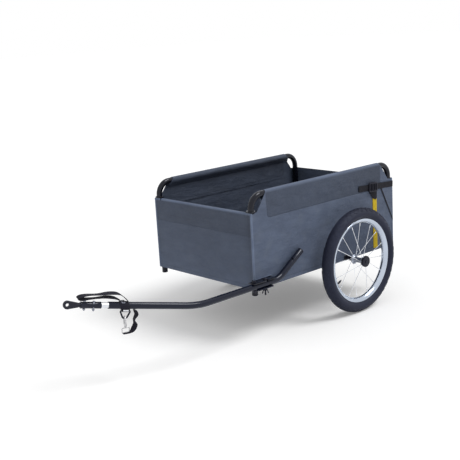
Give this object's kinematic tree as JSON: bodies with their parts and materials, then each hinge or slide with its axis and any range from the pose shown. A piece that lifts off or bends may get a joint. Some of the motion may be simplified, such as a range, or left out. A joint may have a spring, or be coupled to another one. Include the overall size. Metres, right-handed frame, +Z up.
{
  "type": "bicycle cargo trailer",
  "caption": "Bicycle cargo trailer: open fabric tub on a bent-tube frame, spoked wheels on quick-release axles, side drawbar with swivel hitch eye and safety strap, dropping rear panel.",
  "frame": {"origin": "on the ground below the middle of the whole trailer, drawbar included, midway between the wheels", "axes": "-Y is forward, along the drawbar to the hitch eye; +X is the side of the drawbar, which is the trailer's own left; +Z is up"},
  "size_m": [0.735, 1.482, 0.534],
  "materials": {
    "black_paint": "gloss",
    "black_plastic": "satin",
    "grey_cloth": "coated, dull",
    "board": "film-faced, dull",
    "yellow_webbing": "woven",
    "black_webbing": "woven",
    "tyre": "matt",
    "rim": "polished",
    "plated_steel": "bright plated",
    "nylon": "natural"
  },
  "bodies": {
    "frame": {"left_side_frame": "black_paint", "right_side_frame": "black_paint", "left_bottom_rail": "black_paint", "right_bottom_rail": "black_paint", "front_cross_tube": "black_paint", "rear_cross_tube": "black_paint", "axle_tube": "black_paint", "front_crossbar": "black_paint", "left_axle_socket": "black_paint", "right_axle_socket": "black_paint", "hitch_bracket": "black_paint", "pivot_bolt": "black_paint", "left_front_foot": "black_plastic", "right_front_foot": "black_plastic", "left_rear_foot": "black_plastic", "right_rear_foot": "black_plastic", "left_axle_knob": "black_plastic", "right_axle_knob": "black_plastic", "left_side_panel": "grey_cloth", "right_side_panel": "grey_cloth", "front_panel": "grey_cloth", "floor_board": "board", "left_yellow_strap": "yellow_webbing", "right_yellow_strap": "yellow_webbing", "left_axle_pin": "plated_steel", "right_axle_pin": "plated_steel"},
    "left_button": {"left_release_button": "black_plastic"},
    "right_button": {"right_release_button": "black_plastic"},
    "left_wheel": {"left_tyre": "tyre", "left_rim": "rim", "left_spoked_hub": "plated_steel", "left_hub_bush": "nylon"},
    "right_wheel": {"right_tyre": "tyre", "right_rim": "rim", "right_spoked_hub": "plated_steel", "right_hub_bush": "nylon"},
    "tailgate": {"rear_panel": "grey_cloth", "left_ear": "grey_cloth", "right_ear": "grey_cloth", "left_rear_strap": "black_webbing", "right_rear_strap": "black_webbing", "left_buckle": "black_plastic", "right_buckle": "black_plastic"},
    "drawbar": {"drawbar": "black_paint", "clamp_plate": "black_paint", "lock_bolt": "black_paint", "drawbar_cap": "black_plastic", "spigot": "plated_steel"},
    "wing_nut": {"wing_nut": "black_paint"},
    "hitch": {"hitch_sleeve": "black_paint", "hitch_eye": "black_paint", "rear_hitch_bolt": "plated_steel", "front_hitch_bolt": "plated_steel"},
    "safety_strap": {"strap_wrap": "black_webbing", "strap_loops": "black_webbing", "strap_tail": "black_webbing", "strap_ring": "black_paint", "snap_hook": "plated_steel"},
    "hook_gate": {"hook_gate": "plated_steel"}
  },
  "joints": [
    {"name": "left_wheel_spin", "type": "hinge", "parent": "frame", "child": "left_wheel", "pos_m": [0.328, 0.44669, 0.2], "axis": [1, 0, 0], "continuous": true},
    {"name": "right_wheel_spin", "type": "hinge", "parent": "frame", "child": "right_wheel", "pos_m": [-0.328, 0.44669, 0.2], "axis": [1, 0, 0], "continuous": true},
    {"name": "left_release_press", "type": "slide", "parent": "frame", "child": "left_button", "axis": [-1, 0, 0], "range_m": [0, 0.003], "stiffness_N_per_m": 600},
    {"name": "right_release_press", "type": "slide", "parent": "frame", "child": "right_button", "axis": [1, 0, 0], "range_m": [0, 0.003], "stiffness_N_per_m": 600},
    {"name": "tailgate_drop", "type": "hinge", "parent": "frame", "child": "tailgate", "pos_m": [0, 0.74069, 0.1905], "axis": [-1, 0, 0], "range_deg": [0, 100]},
    {"name": "drawbar_swing", "type": "hinge", "parent": "frame", "child": "drawbar", "pos_m": [0.279, -0.05831, 0.21], "axis": [0, 0, -1], "range_deg": [0, 70]},
    {"name": "wing_nut_turn", "type": "hinge", "parent": "drawbar", "child": "wing_nut", "pos_m": [0.279, -0.00631, 0.184], "axis": [0, 0, 1], "continuous": true},
    {"name": "hitch_swivel", "type": "hinge", "parent": "drawbar", "child": "hitch", "pos_m": [0.17208, -0.6575, 0.2808], "axis": [-0.2933, -0.9361, 0.1942], "range_deg": [-60, 60]},
    {"name": "strap_swing", "type": "hinge", "parent": "drawbar", "child": "safety_strap", "pos_m": [0.20449, -0.55407, 0.25934], "axis": [-0.2933, -0.9361, 0.1942], "range_deg": [-40, 40]},
    {"name": "hook_gate_swing", "type": "hinge", "parent": "safety_strap", "child": "hook_gate", "pos_m": [0.21074, -0.55922, 0.20237], "axis": [-0.299, -0.9542, 0], "range_deg": [0, 28], "stiffness_Nm_per_rad": 0.02}
  ]
}
